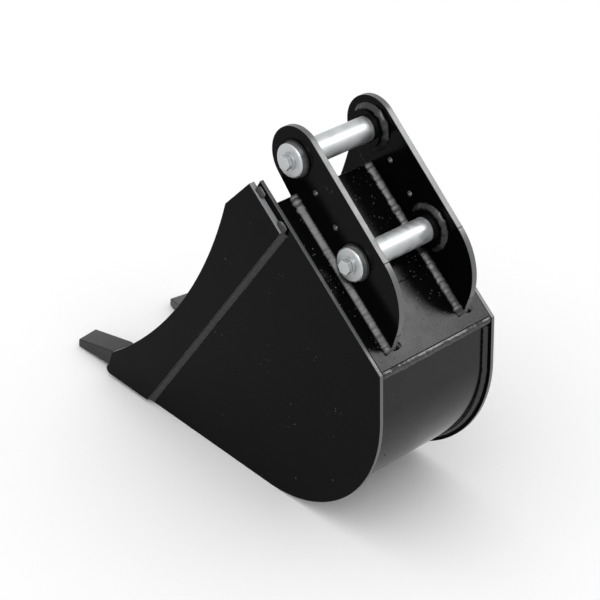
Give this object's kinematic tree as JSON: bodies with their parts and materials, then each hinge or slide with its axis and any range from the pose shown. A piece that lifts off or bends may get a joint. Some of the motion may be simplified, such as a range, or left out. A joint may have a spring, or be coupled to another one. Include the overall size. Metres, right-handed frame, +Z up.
{
  "type": "tractor backhoe bucket",
  "caption": "Narrow digging bucket for a compact tractor's backhoe, with side cutters, chisel teeth, a pair of hitch ears and bolted, removable hitch pins.",
  "frame": {"origin": "on the ground, on the centre line, midway between the tooth tips and the back of the heel", "axes": "+X back towards the heel, +Y to the bucket's right along the pins, +Z up with the bucket standing on its side plates' bottom edges"},
  "size_m": [0.633, 0.246, 0.5495],
  "materials": {
    "black_paint": "glossy black enamel on steel plate",
    "weld_paint": "glossy black enamel over weld beads",
    "plated_steel": "clear zinc plating, satin",
    "seal_rubber": "matt black"
  },
  "bodies": {
    "bucket": {"side_plate_left": "black_paint", "side_plate_right": "black_paint", "wrapper": "black_paint", "back_plate_upper": "black_paint", "back_plate_lower": "black_paint", "cutting_lip": "black_paint", "tooth_left": "black_paint", "tooth_right": "black_paint", "side_cutter_left": "black_paint", "side_cutter_right": "black_paint", "ear_left": "black_paint", "ear_right": "black_paint", "link_boss_left": "black_paint", "link_boss_right": "black_paint", "arm_boss_left": "black_paint", "arm_boss_right": "black_paint", "weld_ear_left": "weld_paint", "weld_ear_right": "weld_paint", "weld_bosses_left": "weld_paint", "weld_bosses_right": "weld_paint", "weld_heel": "weld_paint", "weld_cutter_left": "weld_paint", "weld_cutter_right": "weld_paint", "weld_shell_left": "weld_paint", "weld_shell_right": "weld_paint"},
    "link_seal_pair": {"link_seals": "seal_rubber"},
    "link_pin_set": {"link_pin": "plated_steel", "link_disc_left": "plated_steel", "link_washer_left": "plated_steel", "link_bolt_left": "plated_steel"},
    "link_keeper": {"link_disc_right": "plated_steel", "link_washer_right": "plated_steel", "link_bolt_right": "plated_steel"},
    "arm_seal_pair": {"arm_seals": "seal_rubber"},
    "arm_pin_set": {"arm_pin": "plated_steel", "arm_disc_left": "plated_steel", "arm_washer_left": "plated_steel", "arm_bolt_left": "plated_steel"},
    "arm_keeper": {"arm_disc_right": "plated_steel", "arm_washer_right": "plated_steel", "arm_bolt_right": "plated_steel"}
  },
  "joints": [
    {"name": "link_pin_turn", "type": "hinge", "parent": "bucket", "child": "link_seal_pair", "pos_m": [0.08958, 0, 0.5045], "axis": [0, 1, 0], "continuous": true},
    {"name": "link_pin_slide", "type": "slide", "parent": "link_seal_pair", "child": "link_pin_set", "axis": [0, -1, 0], "range_m": [0, 0.3]},
    {"name": "link_keeper_slide", "type": "slide", "parent": "link_seal_pair", "child": "link_keeper", "axis": [0, 1, 0], "range_m": [0, 0.06]},
    {"name": "arm_pin_turn", "type": "hinge", "parent": "bucket", "child": "arm_seal_pair", "pos_m": [0.2115, 0, 0.404], "axis": [0, 1, 0], "continuous": true},
    {"name": "arm_pin_slide", "type": "slide", "parent": "arm_seal_pair", "child": "arm_pin_set", "axis": [0, -1, 0], "range_m": [0, 0.3]},
    {"name": "arm_keeper_slide", "type": "slide", "parent": "arm_seal_pair", "child": "arm_keeper", "axis": [0, 1, 0], "range_m": [0, 0.06]}
  ]
}
